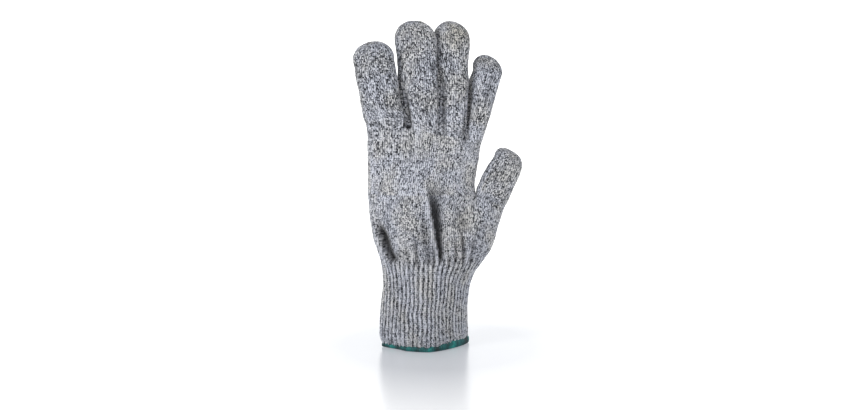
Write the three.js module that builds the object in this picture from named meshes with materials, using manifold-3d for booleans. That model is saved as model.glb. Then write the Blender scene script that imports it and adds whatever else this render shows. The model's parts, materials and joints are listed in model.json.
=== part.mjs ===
// A cut resistant glove, standing on its cuff: a seamless knitted shell with an elastic thread laid
// inside the cuff and an overlocked hem. The shell is divided where the fingers, thumb and wrist bend.
//
// Millimetres, +Z up the glove, +X towards the thumb, -Y in front of the palm. The origin is on the
// ground, under the middle of the glove's bounding box.

import * as THREE from 'three';
import { mergeVertices } from 'three/addons/utils/BufferGeometryUtils.js';
import Module from 'manifold-3d';

const wasm = await Module();
wasm.setup();

// ---------------------------------------------------------------- driving dimensions

const WALL = 1.3; // thickness of the knitted fabric
const GAP = 0.3; // left between pieces that touch

const HAND_SIDES = 28; // facets round the cuff and palm
const FINGER_SIDES = 12; // facets round a finger

// The cuff and palm, from the hem to the roof between the fingers. Each section is an oval from left to
// right. depth is half its thickness, square is 2 on an ellipse and nearer 1 on a diamond, ridge moves
// the front corner towards the thumb and the back one away, turn moves the thumb's side back and the
// other side forwards, and slope is how much of the knuckle line's tilt the section takes.
const HAND_SECTIONS = [
  { z: 0, left: -43.6, right: 22.6, depth: 24, square: 1.4, ridge: 4.5, turn: 7, slope: 0 },
  { z: 24, left: -42.7, right: 22, depth: 23, square: 1.45, ridge: 4.5, turn: 7, slope: 0 },
  { z: 42, left: -41.2, right: 23.5, depth: 21.2, square: 1.55, ridge: 3.5, turn: 6, slope: 0 },
  { z: 54, left: -40.5, right: 26.8, depth: 19.6, square: 1.75, ridge: 1.5, turn: 4.5, slope: 0 },
  { z: 62, left: -42, right: 32.4, depth: 18.4, square: 2, ridge: 0, turn: 3, slope: 0 },
  { z: 70, left: -44.4, right: 38, depth: 17.6, square: 2.1, ridge: 0, turn: 1.5, slope: 0 },
  { z: 80, left: -47.8, right: 42, depth: 16.8, square: 2.2, ridge: 0, turn: 0, slope: 0 },
  { z: 92, left: -49.9, right: 44.5, depth: 16.1, square: 2.3, ridge: 0, turn: 0, slope: 0 },
  { z: 101, left: -50.8, right: 38, depth: 15.5, square: 2.3, ridge: 0, turn: 0, slope: 0 },
  { z: 112, left: -51.4, right: 27.4, depth: 14.8, square: 2.3, ridge: 0, turn: 0, slope: 0 },
  { z: 124, left: -51.6, right: 26.9, depth: 13.8, square: 2.4, ridge: 0, turn: 0, slope: 0.25 },
  { z: 138, left: -51.8, right: 28.4, depth: 12.2, square: 2.6, ridge: 0, turn: 0, slope: 0.7 },
  { z: 149, left: -51.8, right: 30.8, depth: 9.8, square: 2.8, ridge: 0, turn: 0, slope: 1 },
  { z: 154, left: -49.5, right: 29, depth: 7, square: 2.8, ridge: 0, turn: 0, slope: 1 },
  { z: 156.4, left: -45, right: 25, depth: 3.4, square: 2.6, ridge: 0, turn: 0, slope: 1 },
];
const KNUCKLE_TILT = 0.2; // the forks between the fingers fall this much per mm towards the thumb
const PALM_SPLIT = 112; // height where the thumb's stitches join the four-finger part

const HEM_HEIGHT = 4.6;
const HEM_BULGE = 0.9; // how far the overlock threads stand out of the fabric

const ELASTIC_RADIUS = 0.45;
const ELASTIC_TURNS = 4;
const ELASTIC_FROM = 10;
const ELASTIC_TO = 42;
const ELASTIC_STEPS = 84;
const ELASTIC_SIDES = 5;
const ELASTIC_CLEARANCE = 2; // radii between the thread's line and the fabric, because both are faceted

// Fingers stand straight up in a leaning line: base is at the fork, tip at the shoulder of the dome.
// bends are the heights of the three places where it bends.
const FINGERS = [
  {
    name: 'little_finger',
    base: { x: -38.7, halfWidth: 13.3, depth: 9, y: 0 },
    tip: { x: -47.3, halfWidth: 14.4, depth: 8.2, y: 0 },
    fork: 160, top: 224, dome: 11, bends: [169, 187, 205],
  },
  {
    name: 'ring_finger',
    base: { x: -12.9, halfWidth: 11.8, depth: 9, y: 0 },
    tip: { x: -17.2, halfWidth: 14.3, depth: 8.4, y: -0.5 },
    fork: 158, top: 240.5, dome: 14.5, bends: [168, 191, 215],
  },
  {
    name: 'middle_finger',
    base: { x: 9.1, halfWidth: 9.5, depth: 9, y: 0 },
    tip: { x: 10.6, halfWidth: 12.4, depth: 8.2, y: 1 },
    fork: 156, top: 238.5, dome: 13, bends: [165, 189, 213],
  },
  {
    name: 'index_finger',
    base: { x: 25.5, halfWidth: 6.2, depth: 9.6, y: 0 },
    tip: { x: 35.4, halfWidth: 11, depth: 8, y: 0.5 },
    fork: 151, top: 214.5, dome: 13.5, bends: [161, 178.5, 196],
  },
];
const FINGER_ROOT = 22; // how far each finger's tube reaches down into the palm
const FINGER_FLEX = [70, 80, 50]; // degrees that each bend closes forwards
const FINGER_EXTEND = [15, 0, 0]; // and backwards
const FINGER_BEND_NAMES = ['base_bend', 'middle_bend', 'tip_bend'];
const FINGER_SEGMENT_NAMES = ['proximal', 'middle', 'tip'];

// The thumb leans out of the palm. Its sections are square to its own line, and at is the distance along
// that line from THUMB_CENTRE.
const THUMB_CENTRE = new THREE.Vector3(44.3, 0, 121.4);
const THUMB_LEAN = 25.5; // degrees from upright
const THUMB_SECTIONS = [
  { at: -36, halfWidth: 13.6, depth: 12 },
  { at: -29, halfWidth: 13.4, depth: 11.6 },
  { at: -14, halfWidth: 11.9, depth: 9.6 },
  { at: 12.5, halfWidth: 11.6, depth: 8.2 },
];
const THUMB_DOME = 12;
const THUMB_BENDS = [-8.5, 4.5];
const THUMB_FLEX = [45, 60];
const THUMB_EXTEND = [10, 0];

const WRIST_HEIGHT = 62;
const WRIST_SWING = 50; // degrees forwards and backwards

const PIVOT_FORWARD = 2.5; // a finger bends about a line this far in front of its middle
const CUT_HALF = 1; // half the height of the cut at the pivot
const CUT_SPARE = 1; // degrees that the cut is wider than the bend needs
const FINGER_REACH = 11.5; // how far a finger's cuts run in front of and behind its middle
const HAND_REACH = 30;
const WIDE = 140; // wider than the glove

const DOME_STEPS = [0.45, 0.75, 0.93];

// ---------------------------------------------------------------- solids

function solid(geometry) {
  geometry.deleteAttribute('normal');
  geometry.deleteAttribute('uv');
  const merged = mergeVertices(geometry, 1e-4);
  return new wasm.Manifold(
    new wasm.Mesh({
      numProp: 3,
      vertProperties: new Float32Array(merged.attributes.position.array),
      triVerts: new Uint32Array(merged.index.array),
    }),
  );
}

// A closed skin through rings of points that run counterclockwise, seen from the last ring's side.
function loft(rings) {
  const sides = rings[0].length;
  const points = rings.flat();
  const index = [];
  for (let ring = 0; ring < rings.length - 1; ring++) {
    for (let side = 0; side < sides; side++) {
      const here = ring * sides + side;
      const next = ring * sides + ((side + 1) % sides);
      index.push(here, next, next + sides, here, next + sides, here + sides);
    }
  }
  const lastRing = (rings.length - 1) * sides;
  const bottom = points.length;
  const top = bottom + 1;
  points.push(middleOf(rings[0]), middleOf(rings[rings.length - 1]));
  for (let side = 0; side < sides; side++) {
    const next = (side + 1) % sides;
    index.push(bottom, next, side, top, lastRing + side, lastRing + next);
  }
  const geometry = new THREE.BufferGeometry().setFromPoints(points);
  geometry.setIndex(index);
  return geometry;
}

function middleOf(points) {
  const sum = new THREE.Vector3();
  points.forEach((point) => sum.add(point));
  return sum.divideScalar(points.length);
}

function power(value, exponent) {
  return Math.sign(value) * Math.abs(value) ** exponent;
}

// A point on an oval of half sizes a and b, at an angle from its right end. square is 2 on an ellipse.
function onOval(a, b, square, angle) {
  return new THREE.Vector2(a * power(Math.cos(angle), 2 / square), b * power(Math.sin(angle), 2 / square));
}

function oval(a, b, square, sides) {
  return Array.from({ length: sides }, (_, side) => onOval(a, b, square, (side / sides) * 2 * Math.PI));
}

// A point round one section of the cuff or palm, moved inwards by inset.
function handPoint(section, inset, angle) {
  const halfWidth = (section.right - section.left) / 2 - inset;
  const depth = section.depth - inset;
  const { x, y } = onOval(halfWidth, depth, section.square, angle);
  const across = (section.left + section.right) / 2 + x - (section.ridge * y) / depth;
  const back = y + (section.turn * x) / halfWidth;
  return new THREE.Vector3(across, back, section.z - section.slope * KNUCKLE_TILT * across);
}

function handRing(section, inset) {
  return Array.from({ length: HAND_SIDES }, (_, side) =>
    handPoint(section, inset, (side / HAND_SIDES) * 2 * Math.PI),
  );
}

// The cuff and palm. The roof comes down by inset too, so that it has the same thickness as the walls.
function handSolid(inset) {
  const roof = HAND_SECTIONS.length - 3;
  const rings = HAND_SECTIONS.map((section, number) => {
    const lowered = number >= roof ? section.z - inset : section.z;
    return handRing({ ...section, z: lowered }, inset);
  });
  return solid(loft(rings));
}

// Heights up a rounded tip, as a part of its height, and how much of the full size is left there.
function domeScales() {
  return DOME_STEPS.map((height) => ({ height, scale: Math.sqrt(1 - height ** 2) }));
}

function fingerRing(section, inset) {
  return oval(section.halfWidth - inset, section.depth - inset, 2.15, FINGER_SIDES).map(
    ({ x, y }) => new THREE.Vector3(section.x + x, section.y + y, section.z),
  );
}

function fingerSolid(finger, inset) {
  const shoulder = finger.top - finger.dome;
  const lean = (finger.tip.x - finger.base.x) / (shoulder - finger.fork);
  const root = { ...finger.base, x: finger.base.x - lean * FINGER_ROOT, z: finger.fork - FINGER_ROOT };
  const sections = [root, { ...finger.base, z: finger.fork }, { ...finger.tip, z: shoulder }];
  const rings = sections.map((section) => fingerRing(section, inset));
  for (const { height, scale } of domeScales()) {
    const section = {
      x: finger.tip.x + lean * height * finger.dome,
      y: finger.tip.y,
      z: shoulder + height * (finger.dome - inset),
      halfWidth: (finger.tip.halfWidth - inset) * scale,
      depth: (finger.tip.depth - inset) * scale,
    };
    rings.push(fingerRing(section, 0));
  }
  return solid(loft(rings));
}

// The thumb's own frame: its Z runs along the thumb, and its X lies across it in the glove's plane.
const thumbFrame = new THREE.Matrix4()
  .makeTranslation(THUMB_CENTRE)
  .multiply(new THREE.Matrix4().makeRotationY(THREE.MathUtils.degToRad(THUMB_LEAN)));

function thumbSolid(inset) {
  const last = THUMB_SECTIONS[THUMB_SECTIONS.length - 1];
  const rings = THUMB_SECTIONS.map((section) =>
    oval(section.halfWidth - inset, section.depth - inset, 2.15, FINGER_SIDES).map(
      ({ x, y }) => new THREE.Vector3(x, y, section.at),
    ),
  );
  for (const { height, scale } of domeScales()) {
    const at = last.at + height * (THUMB_DOME - inset);
    const ring = oval((last.halfWidth - inset) * scale, (last.depth - inset) * scale, 2.15, FINGER_SIDES);
    rings.push(ring.map(({ x, y }) => new THREE.Vector3(x, y, at)));
  }
  const skin = loft(rings);
  skin.applyMatrix4(thumbFrame);
  return solid(skin);
}

// ---------------------------------------------------------------- cuts where the glove bends

// A bend is a place along a limb where the shell is cut, with its pivot in the middle of the cut. The cut
// opens towards the front and the back, so that the pieces on both sides clear each other when it closes.
function bend(at, flex, extend, reach, forward) {
  const slopeOf = (degrees) => Math.tan(THREE.MathUtils.degToRad(degrees / 2 + CUT_SPARE));
  return { at, front: slopeOf(flex), back: slopeOf(extend), reach, forward };
}

// One face of a bend's cut, from the front to the back: side is 1 above the cut and -1 below it. inset
// brings it nearer to the middle of the cut.
function cutFace(bent, side, inset) {
  const faceAt = (distance, slope) => bent.at + side * (CUT_HALF + distance * slope - inset * Math.hypot(1, slope));
  return [
    new THREE.Vector2(-bent.reach, faceAt(bent.reach - bent.forward, bent.front)),
    new THREE.Vector2(-bent.forward, faceAt(0, Math.min(bent.front, bent.back))),
    new THREE.Vector2(bent.reach, faceAt(bent.reach + bent.forward, bent.back)),
  ];
}

function flatFace(at, reach) {
  return [new THREE.Vector2(-reach, at), new THREE.Vector2(reach, at)];
}

// The space between two faces, each given from front to back, across the whole width of the glove.
function spaceBetween(lowFace, highFace, frame) {
  const outline = new THREE.Shape([...lowFace, ...[...highFace].reverse()]);
  const prism = new THREE.ExtrudeGeometry(outline, { depth: WIDE, bevelEnabled: false });
  prism.translate(0, 0, -WIDE / 2);
  // the outline's axes become Y and Z, and its thickness X
  prism.applyMatrix4(
    new THREE.Matrix4().makeBasis(
      new THREE.Vector3(0, 1, 0),
      new THREE.Vector3(0, 0, 1),
      new THREE.Vector3(1, 0, 0),
    ),
  );
  prism.applyMatrix4(frame);
  return solid(prism);
}

const level = new THREE.Matrix4();

// The pieces of a hollow limb above its first bend, with the fabric that bends between them. shell is the
// limb's hollow solid, and each piece is [name, solid].
function limbPieces(name, shell, bends, bendNames, segmentNames, end, frame) {
  const pieces = [];
  bends.forEach((bent, number) => {
    const fold = spaceBetween(cutFace(bent, -1, GAP), cutFace(bent, 1, GAP), frame);
    pieces.push([`${name}_${bendNames[number]}`, shell.intersect(fold)]);
    const next = bends[number + 1];
    const highFace = next ? cutFace(next, -1, 0) : flatFace(end, bent.reach);
    const segment = spaceBetween(cutFace(bent, 1, 0), highFace, frame);
    pieces.push([`${name}_${segmentNames[number]}`, shell.intersect(segment)]);
  });
  return pieces;
}

// ---------------------------------------------------------------- the shell's pieces

const handOuter = handSolid(0);
const handInner = handSolid(WALL);
const thumbOuter = thumbSolid(0);
const thumbInner = thumbSolid(WALL);
const thumbBends = THUMB_BENDS.map((at, number) =>
  bend(at, THUMB_FLEX[number], THUMB_EXTEND[number], FINGER_REACH, PIVOT_FORWARD),
);
const wristBend = bend(WRIST_HEIGHT, WRIST_SWING, WRIST_SWING, HAND_REACH, 0);

const fingers = FINGERS.map((finger) => ({
  finger,
  outer: fingerSolid(finger, 0),
  inner: fingerSolid(finger, WALL),
  bends: finger.bends.map((at, number) =>
    bend(at, FINGER_FLEX[number], FINGER_EXTEND[number], FINGER_REACH, PIVOT_FORWARD),
  ),
}));

// Everything that the hand goes into is one hollow, so no wall is left across it.
const hollow = fingers.reduce((sum, { inner }) => sum.add(inner), handInner.add(thumbInner));

function upperPalm() {
  let skin = handOuter;
  for (const { outer, bends } of fingers) {
    const root = spaceBetween(flatFace(0, FINGER_REACH * 2), cutFace(bends[0], -1, 0), level);
    skin = skin.add(outer.intersect(root));
  }
  const above = spaceBetween(flatFace(PALM_SPLIT + GAP / 2, HAND_REACH), flatFace(WIDE * 2, HAND_REACH), level);
  return skin.intersect(above).subtract(thumbSolid(-GAP)).subtract(hollow);
}

function lowerPalm() {
  const slice = spaceBetween(cutFace(wristBend, 1, 0), flatFace(PALM_SPLIT - GAP / 2, HAND_REACH), level);
  const root = spaceBetween(flatFace(-WIDE, FINGER_REACH * 2), cutFace(thumbBends[0], -1, 0), thumbFrame);
  const aboveWrist = spaceBetween(cutFace(wristBend, 1, 0), flatFace(WIDE * 2, HAND_REACH), level);
  const thumbRoot = thumbOuter.intersect(root).intersect(aboveWrist);
  const behindPalm = handOuter.intersect(
    spaceBetween(flatFace(PALM_SPLIT - GAP, HAND_REACH), flatFace(WIDE * 2, HAND_REACH), level),
  );
  return handOuter.intersect(slice).add(thumbRoot.subtract(behindPalm)).subtract(hollow);
}

function wristFold() {
  const fold = spaceBetween(cutFace(wristBend, -1, GAP), cutFace(wristBend, 1, GAP), level);
  return handOuter.add(thumbOuter).intersect(fold).subtract(hollow);
}

function cuffTube() {
  const tube = spaceBetween(flatFace(HEM_HEIGHT + GAP, HAND_REACH), cutFace(wristBend, -1, 0), level);
  return handOuter.add(thumbOuter).intersect(tube).subtract(hollow);
}

// The hem's overlock threads cover the cuff's edge, so the hem is a little thicker than the fabric.
function hemRing() {
  const bottom = HAND_SECTIONS[0];
  const levels = [
    { z: 0, bulge: HEM_BULGE * 0.4 },
    { z: HEM_HEIGHT * 0.3, bulge: HEM_BULGE },
    { z: HEM_HEIGHT * 0.7, bulge: HEM_BULGE },
    { z: HEM_HEIGHT, bulge: HEM_BULGE * 0.3 },
  ];
  const outer = levels.map(({ z, bulge }) => handRing({ ...bottom, z }, -bulge));
  const inner = [-1, HEM_HEIGHT + 1].map((z) => handRing({ ...bottom, z }, WALL + HEM_BULGE * 0.5));
  return solid(loft(outer)).subtract(solid(loft(inner)));
}

// One elastic thread runs round the inside of the cuff in a rising spiral.
class ElasticPath extends THREE.Curve {
  getPoint(t, target = new THREE.Vector3()) {
    const z = ELASTIC_FROM + t * (ELASTIC_TO - ELASTIC_FROM);
    const upper = HAND_SECTIONS.findIndex((section) => section.z > z);
    const below = HAND_SECTIONS[upper - 1];
    const above = HAND_SECTIONS[upper];
    const mix = (z - below.z) / (above.z - below.z);
    const section = {};
    Object.keys(below).forEach((key) => {
      section[key] = THREE.MathUtils.lerp(below[key], above[key], mix);
    });
    const inset = WALL + GAP + ELASTIC_RADIUS * ELASTIC_CLEARANCE;
    return target.copy(handPoint(section, inset, t * ELASTIC_TURNS * 2 * Math.PI));
  }
}

function elasticThread() {
  const section = new THREE.Shape(
    Array.from({ length: ELASTIC_SIDES }, (_, side) => {
      const turn = (side / ELASTIC_SIDES) * 2 * Math.PI;
      return new THREE.Vector2(ELASTIC_RADIUS * Math.cos(turn), ELASTIC_RADIUS * Math.sin(turn));
    }),
  );
  return solid(
    new THREE.ExtrudeGeometry(section, {
      steps: ELASTIC_STEPS,
      bevelEnabled: false,
      extrudePath: new ElasticPath(),
    }),
  );
}

// ---------------------------------------------------------------- the glove

const knit = { color: 0xa9aeb2, roughness: 0.95, metalness: 0 };
const cuffKnit = { color: 0xb2b7bb, roughness: 0.95, metalness: 0 };
const hemThread = { color: 0x146e69, roughness: 0.8, metalness: 0 };
const rubber = { color: 0xe6e6e0, roughness: 0.7, metalness: 0 };

const glove = new THREE.Group();

function addPiece(name, body, look) {
  const { vertProperties, triVerts } = body.getMesh();
  const geometry = new THREE.BufferGeometry();
  geometry.setAttribute('position', new THREE.BufferAttribute(new Float32Array(vertProperties), 3));
  geometry.setIndex(new THREE.BufferAttribute(new Uint32Array(triVerts), 1));
  geometry.computeVertexNormals();
  const mesh = new THREE.Mesh(geometry, new THREE.MeshStandardMaterial(look));
  mesh.name = name;
  glove.add(mesh);
}

addPiece('hem', hemRing(), hemThread);
addPiece('cuff_elastic', elasticThread(), rubber);
addPiece('cuff', cuffTube(), cuffKnit);
addPiece('wrist_bend', wristFold(), knit);
addPiece('lower_palm', lowerPalm(), knit);
addPiece('upper_palm', upperPalm(), knit);

const thumbShell = thumbOuter.subtract(thumbInner);
const thumbPieces = limbPieces(
  'thumb', thumbShell, thumbBends, ['base_bend', 'tip_bend'], ['proximal', 'tip'], WIDE, thumbFrame,
);
thumbPieces.forEach(([name, body]) => addPiece(name, body, knit));

for (const { finger, outer, inner, bends } of fingers) {
  const shell = outer.subtract(inner);
  const pieces = limbPieces(
    finger.name, shell, bends, FINGER_BEND_NAMES, FINGER_SEGMENT_NAMES, WIDE * 2, level,
  );
  pieces.forEach(([name, body]) => addPiece(name, body, knit));
}

export default glove;
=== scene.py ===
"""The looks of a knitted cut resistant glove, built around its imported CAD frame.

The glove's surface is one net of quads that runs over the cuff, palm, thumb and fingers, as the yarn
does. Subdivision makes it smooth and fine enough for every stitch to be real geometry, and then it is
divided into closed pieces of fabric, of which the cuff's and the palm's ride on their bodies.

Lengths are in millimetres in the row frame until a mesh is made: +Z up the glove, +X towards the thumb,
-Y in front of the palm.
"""

import json
import math

import bpy
import numpy as np
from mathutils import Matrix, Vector, noise
from mathutils.bvhtree import BVHTree
from mathutils.kdtree import KDTree


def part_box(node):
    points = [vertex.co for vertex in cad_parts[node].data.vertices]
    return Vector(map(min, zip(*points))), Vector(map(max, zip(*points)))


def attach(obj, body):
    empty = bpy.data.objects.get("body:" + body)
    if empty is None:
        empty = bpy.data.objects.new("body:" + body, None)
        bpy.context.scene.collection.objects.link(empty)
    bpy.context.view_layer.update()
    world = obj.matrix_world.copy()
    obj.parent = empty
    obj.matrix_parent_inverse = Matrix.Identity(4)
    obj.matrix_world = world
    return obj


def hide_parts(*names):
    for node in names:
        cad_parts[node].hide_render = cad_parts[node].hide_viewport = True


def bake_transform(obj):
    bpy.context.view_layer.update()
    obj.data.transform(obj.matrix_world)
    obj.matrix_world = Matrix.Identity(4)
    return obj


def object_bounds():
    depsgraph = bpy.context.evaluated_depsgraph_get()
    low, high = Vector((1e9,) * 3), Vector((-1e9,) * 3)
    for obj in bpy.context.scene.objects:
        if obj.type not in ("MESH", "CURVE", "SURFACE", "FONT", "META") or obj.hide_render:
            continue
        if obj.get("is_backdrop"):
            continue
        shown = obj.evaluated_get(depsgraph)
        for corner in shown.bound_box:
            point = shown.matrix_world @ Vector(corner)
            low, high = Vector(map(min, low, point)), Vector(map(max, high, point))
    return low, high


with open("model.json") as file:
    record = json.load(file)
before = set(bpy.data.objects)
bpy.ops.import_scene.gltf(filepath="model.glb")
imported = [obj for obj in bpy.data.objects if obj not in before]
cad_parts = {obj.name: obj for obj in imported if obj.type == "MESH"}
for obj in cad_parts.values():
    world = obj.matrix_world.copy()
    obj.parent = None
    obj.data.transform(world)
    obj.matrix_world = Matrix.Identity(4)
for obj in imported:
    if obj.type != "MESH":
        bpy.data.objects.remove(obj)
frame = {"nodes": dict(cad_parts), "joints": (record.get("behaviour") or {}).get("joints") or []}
cad_low, cad_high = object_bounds()

MM = 0.001

# ---- the net

FINGERS = ["little_finger", "ring_finger", "middle_finger", "index_finger"]
FINGER_COLUMNS = [4, 4, 3, 3]  # columns of the net across the front of each finger
PALM_COLUMNS = sum(FINGER_COLUMNS)
THUMB_COLUMNS = 3
HAND_COLUMNS = PALM_COLUMNS + THUMB_COLUMNS
CUFF_ROWS = 10
THUMB_ROWS = 9  # from the wrist up to the fork of the thumb
PALM_ROWS = 8  # from there up to the forks of the fingers
WALES = 4  # stitches across one column
COURSES = 4  # stitches up one row
ROW_HEIGHT = 5.6
TUBE_APART = 100  # columns kept between one tube's place in the weave and the next one's

CUFF_EDGE = 2.4  # height of the fabric's edge, hidden in the hem
THUMB_FORK = (28.0, 112.5)
FINGER_FORKS = [(-22.6, 164.3), (-0.7, 158.0), (18.6, 155.5)]
FORK_XS = [x for x, _ in FINGER_FORKS]
FORK_DEPTH = 5.2  # how far a fork's corners stand in front of and behind the glove's middle
FORK_ARCH = 1.2  # how far the middle of a fork stands above its corners
THUMB_FORK_DEPTH = 4.4
THUMB_BLEND = 6.0  # how softly the rows start to slope towards the thumb

# The fingers lie against each other like shingles: each one's thumb side is in front of the next one, and
# it bulges by so much to its left and right, up to a height.
SHINGLE = 4.0
SHINGLE_FROM = 14  # height above the fork where the fingers are fully turned
BULGE_FROM = 4  # height above the fork where they have their full bulge
BULGE_FADE = 9  # how far below its top a bulge starts to fade
SECTION_SQUARE = 2.15  # how square a finger's section is: 2 is an ellipse
ROOT = 16  # height above the fork where a finger's sides no longer lean towards it
FORK_MARGIN = 0.05  # share of a finger's outline left beside a fork
FORK_PULL = 0.18  # how much the next line follows the one that is pulled to a fork
BULGES = {
    "little_finger": ((1.0, 250), (1.4, 250)),
    "ring_finger": ((1.1, 203), (1.9, 250)),
    "middle_finger": ((1.9, 250), (1.3, 206)),
    "index_finger": ((1.3, 206), (0, 0)),
    "thumb": ((1.2, 250), (0, 0)),
}
# The round top of each one: how far it leans over, how far it stands above the CAD's facets, its height
# as a share of half its width, and how square it is.
TIPS = {
    "little_finger": (1.0, 2.4, 0.98, 2.0),
    "ring_finger": (-0.8, 0.9, 0.98, 2.0),
    "middle_finger": (-1.2, 2.1, 0.98, 2.0),
    "index_finger": (-2.2, 1.8, 1.1, 2.0),
    "thumb": (-1.8, 2.7, 0.9, 2.5),
}
DOME_TURNS = np.radians([18, 37, 56])  # where its rings lie, from its foot
FIRST_ROW = 0.8  # height of a limb's first row, in rows
SLOPED_ROWS = 3  # rows until a finger's rings are level
FIT_ROUNDS = 4  # the net is fitted so often, each time by this share of what is missing
FIT_STEP = 0.8
RIDGE_SHARE = 0.64  # how much of its width the ridge between the front and the back takes

STITCH_LEVEL = 4  # subdivisions of the knitted face
LINING_LEVEL = 2  # subdivisions of the inside
FABRIC = 1.15  # thickness of the fabric under the stitches
OUTLINE_STEPS = 90
GAP_LIFT = 0.4  # rays are tried this far up and down too, so that none slips between two CAD nodes
RAY_START = 100  # rays start so far in front of and behind the glove's middle
EDGE_STEPS = 18  # halvings when the edge of the shell is looked for
BESIDE_HAND = (-80, 80)  # the X that are surely outside the shell, to its left and right
BESIDE_PALM = (-80, 60)  # and where the thumb isn't part of it
LOWEST_CUT = 5.2  # the CAD shell is measured above the hem only
TIP_MARGIN = 2  # a limb's tip is measured from so far above its lower end
LIMB_BELOW = 60  # how far below its first section a limb is taken to go on straight
INDEX_WIDTH = 14  # from the last fork to the glove's edge
KNUCKLE_RISE = 1  # how far the row of the knuckles rises from a fork to the glove's edge


class Net:
    """Quads over the glove's surface, each with its piece and its place in the weave, in stitches."""

    def __init__(self):
        self.points = []
        self.quads = []
        self.weave = []
        self.pieces = []
        self.tube_of = []
        self.tubes = 0

    def add(self, points):
        first = len(self.points)
        self.points.extend(np.asarray(points, float))
        return list(range(first, len(self.points)))

    def quad(self, corners, places, piece):
        offset = self.tubes * TUBE_APART
        self.quads.append(corners)
        self.weave.append([((column + offset) * WALES, row * COURSES) for column, row in places])
        self.pieces.append(piece)
        self.tube_of.append(self.tubes)

    def between(self, low, high, k, after, place, piece):
        """A quad between two lines of points, whose lower left corner has a place in the weave."""
        column, row = place
        places = [(column, row), (column + 1, row), (column + 1, row + 1), (column, row + 1)]
        self.quad([low[k], low[after], high[after], high[k]], places, piece)

    def tube(self, rings, piece_of_row):
        """Rows of quads between rings, which run from the front's left end round the thumb's side."""
        for row, (low, high) in enumerate(zip(rings, rings[1:])):
            for column in range(len(low)):
                after = (column + 1) % len(low)
                self.between(low, high, column, after, (column, row), piece_of_row(row))
        self.tubes += 1

    def cap(self, ring, ridge, piece):
        """Closes a tube over its last ring, from the front and from the back up to a ridge."""
        columns = len(ridge) - 1
        front, right, back, left = split_ring(ring, columns)
        for k in range(columns):
            for row, (low, high) in enumerate(((front, ridge), (ridge, back))):
                self.between(low, high, k, k + 1, (k + 1, row), piece)
        self.quad([left, front[0], ridge[0], back[0]], [(0, 1), (1, 0), (1, 1), (1, 2)], piece)
        self.quad(
            [front[-1], right, back[-1], ridge[-1]],
            [(columns + 1, 0), (columns + 2, 1), (columns + 1, 2), (columns + 1, 1)],
            piece,
        )
        self.tubes += 1


def split_ring(ring, columns):
    """(front from left to right, right, back from left to right, left) of a ring."""
    return ring[: columns + 1], ring[columns + 1], ring[columns + 2 : -1][::-1], ring[-1]


def join_ring(front, right, back, left):
    return [*front, right, *back[::-1], left]


# ---- measuring the CAD frame


def node_mesh(*names):
    """The vertices, in millimetres, and triangles of CAD nodes taken together."""
    points, triangles, count = [], [], 0
    for name in names:
        mesh = frame["nodes"][name].data
        mesh.calc_loop_triangles()
        co = np.empty(len(mesh.vertices) * 3, np.float32)
        mesh.vertices.foreach_get("co", co)
        corners = np.empty(len(mesh.loop_triangles) * 3, np.int32)
        mesh.loop_triangles.foreach_get("vertices", corners)
        points.append(co.reshape(-1, 3) / MM)
        triangles.append(corners.reshape(-1, 3) + count)
        count += len(mesh.vertices)
    return np.concatenate(points), np.concatenate(triangles)


def ray_tree(names):
    points, triangles = node_mesh(*names)
    return BVHTree.FromPolygons(points.tolist(), triangles.tolist())


def surface(tree, x, z, side):
    """The Y of the front (side -1) or back (side 1) of the CAD shell at a point, or None beside it."""
    hits = []
    for lift in (0, -GAP_LIFT, GAP_LIFT):
        place = tree.ray_cast(Vector((x, side * RAY_START, z + lift)), Vector((0, -side, 0)))[0]
        if place is not None:
            hits.append(place.y * side)
    return side * max(hits) if hits else None


def edge(tree, height, inside, outside):
    """The X where the shell ends along a line of heights, between a point inside it and one outside."""
    for _ in range(EDGE_STEPS):
        middle = (inside + outside) / 2
        if surface(tree, middle, height(middle), -1) is None:
            outside = middle
        else:
            inside = middle
    return inside


def outline(tree, height, beside):
    """The front and the back of the shell along a line of heights, as points from left to right."""
    left, right = (edge(tree, height, 0.0, outside) for outside in beside)
    turn = np.linspace(0, math.pi, OUTLINE_STEPS)
    across = left + (right - left) * (1 - np.cos(turn)) / 2
    halves = []
    for side in (-1, 1):
        half = np.array([(x, surface(tree, x, height(x), side), height(x)) for x in across], float)
        found = ~np.isnan(half[:, 1])  # a ray can miss between two fingers
        half[:, 1] = np.interp(across, across[found], half[found, 1])
        halves.append(half)
    ends = (halves[0][[0, -1]] + halves[1][[0, -1]]) / 2
    for half in halves:
        half[[0, -1]] = ends
    return halves


def along_line(line):
    """How far along a line of points each point is, from 0 to 1."""
    steps = np.linalg.norm(np.diff(line, axis=0), axis=1)
    along = np.concatenate([[0], np.cumsum(steps)])
    return along / along[-1]


def spread(line, shares):
    along = along_line(line)
    return np.stack([np.interp(shares, along, line[:, k]) for k in range(3)], axis=1)


def net_shares(line, columns, anchors, pull):
    """Where the net's lines cross a half outline. Some of them are pulled towards an anchor's X."""
    along = along_line(line)
    even, wanted = [0.0], [0.0]
    for number, x in sorted(anchors.items()):
        share = (number + 1) / (columns + 2)
        even.append(share)
        wanted.append(share + pull * (np.interp(x, line[:, 0], along) - share))
    shares = (np.arange(columns + 1) + 1) / (columns + 2)
    return np.interp(shares, [*even, 1.0], [*wanted, 1.0])


def hand_ring(tree, height, columns, anchors, pull, beside):
    """A ring round the hand. anchors are the lines with an X of their own, on the front and the back."""
    halves = outline(tree, height, beside)
    front, back = (
        spread(half, net_shares(half, columns, own, pull)) for half, own in zip(halves, anchors)
    )
    return join_ring(front, halves[0][-1], back, halves[0][0])


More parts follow.
